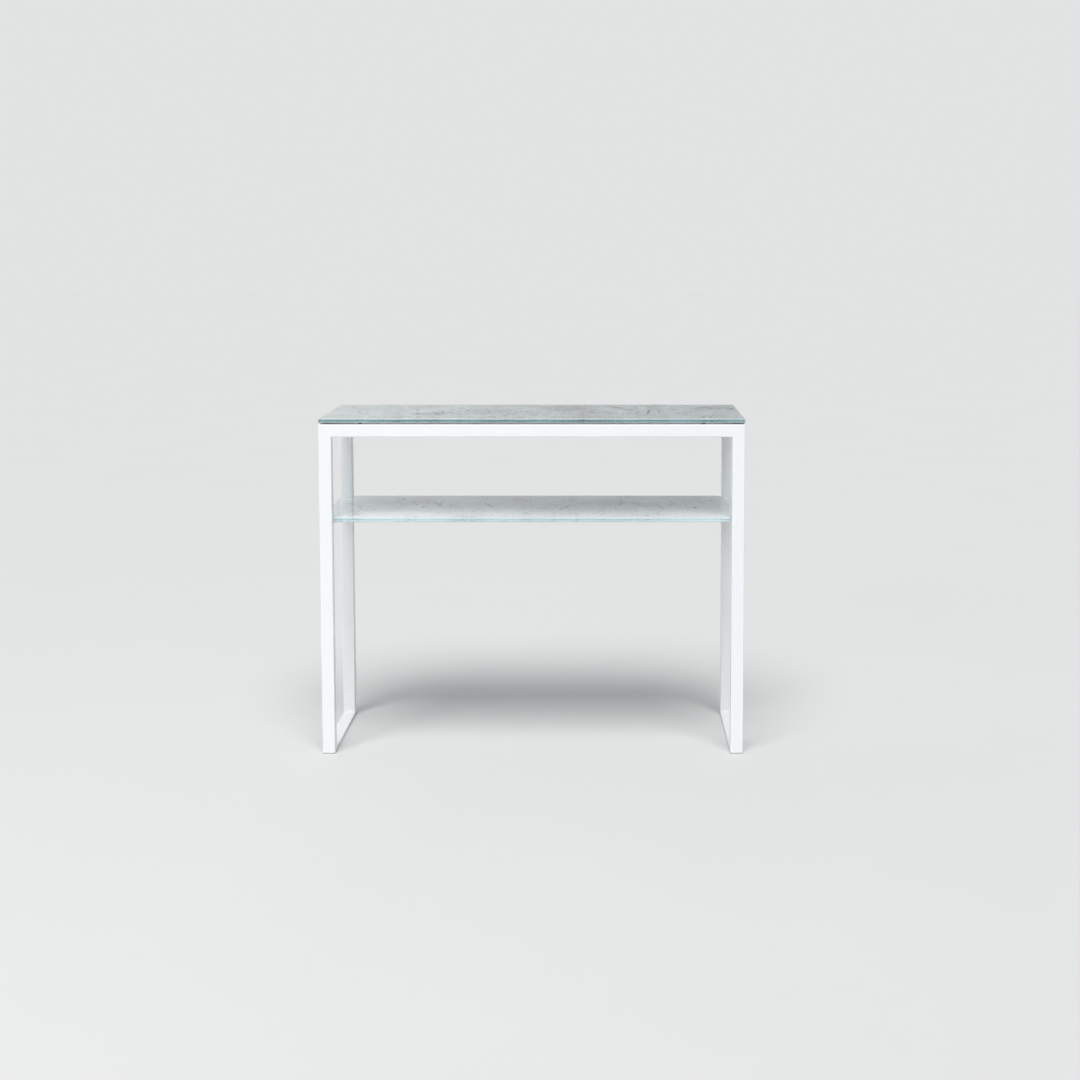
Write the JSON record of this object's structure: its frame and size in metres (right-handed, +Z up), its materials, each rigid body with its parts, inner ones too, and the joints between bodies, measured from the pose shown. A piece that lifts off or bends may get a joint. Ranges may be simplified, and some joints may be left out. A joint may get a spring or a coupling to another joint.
{
  "type": "console table",
  "caption": "Narrow console table: a white powder-coated square-tube frame carries a stone-look printed glass top and a matching glass shelf notched round the legs.",
  "frame": {"origin": "on the floor, under the middle of the table", "axes": "+X to the right along the table's width, +Y to the rear, towards the wall it stands against, +Z up"},
  "size_m": [1, 0.38, 0.8],
  "materials": {
    "frame_paint": "satin white powder coat",
    "glass": "clear float glass with polished faces and ground arrises",
    "stone_print": "fired enamel print of mottled grey stone with fine dark cracks",
    "bumper": "soft translucent blue-grey polyurethane",
    "glide": "moulded grey polyethylene"
  },
  "bodies": {
    "root": {"front_left_leg": "frame_paint", "front_right_leg": "frame_paint", "rear_left_leg": "frame_paint", "rear_right_leg": "frame_paint", "front_top_rail": "frame_paint", "rear_top_rail": "frame_paint", "left_top_rail": "frame_paint", "right_top_rail": "frame_paint", "left_base_bar": "frame_paint", "right_base_bar": "frame_paint", "left_shelf_bearer": "frame_paint", "right_shelf_bearer": "frame_paint", "front_left_glide": "glide", "front_right_glide": "glide", "rear_left_glide": "glide", "rear_right_glide": "glide", "front_left_top_bumper": "bumper", "front_right_top_bumper": "bumper", "rear_left_top_bumper": "bumper", "rear_right_top_bumper": "bumper", "front_left_shelf_bumper": "bumper", "front_right_shelf_bumper": "bumper", "rear_left_shelf_bumper": "bumper", "rear_right_shelf_bumper": "bumper", "top_glass": "glass", "top_print_layer": "stone_print", "shelf_glass": "glass", "shelf_print_layer": "stone_print"}
  },
  "joints": []
}
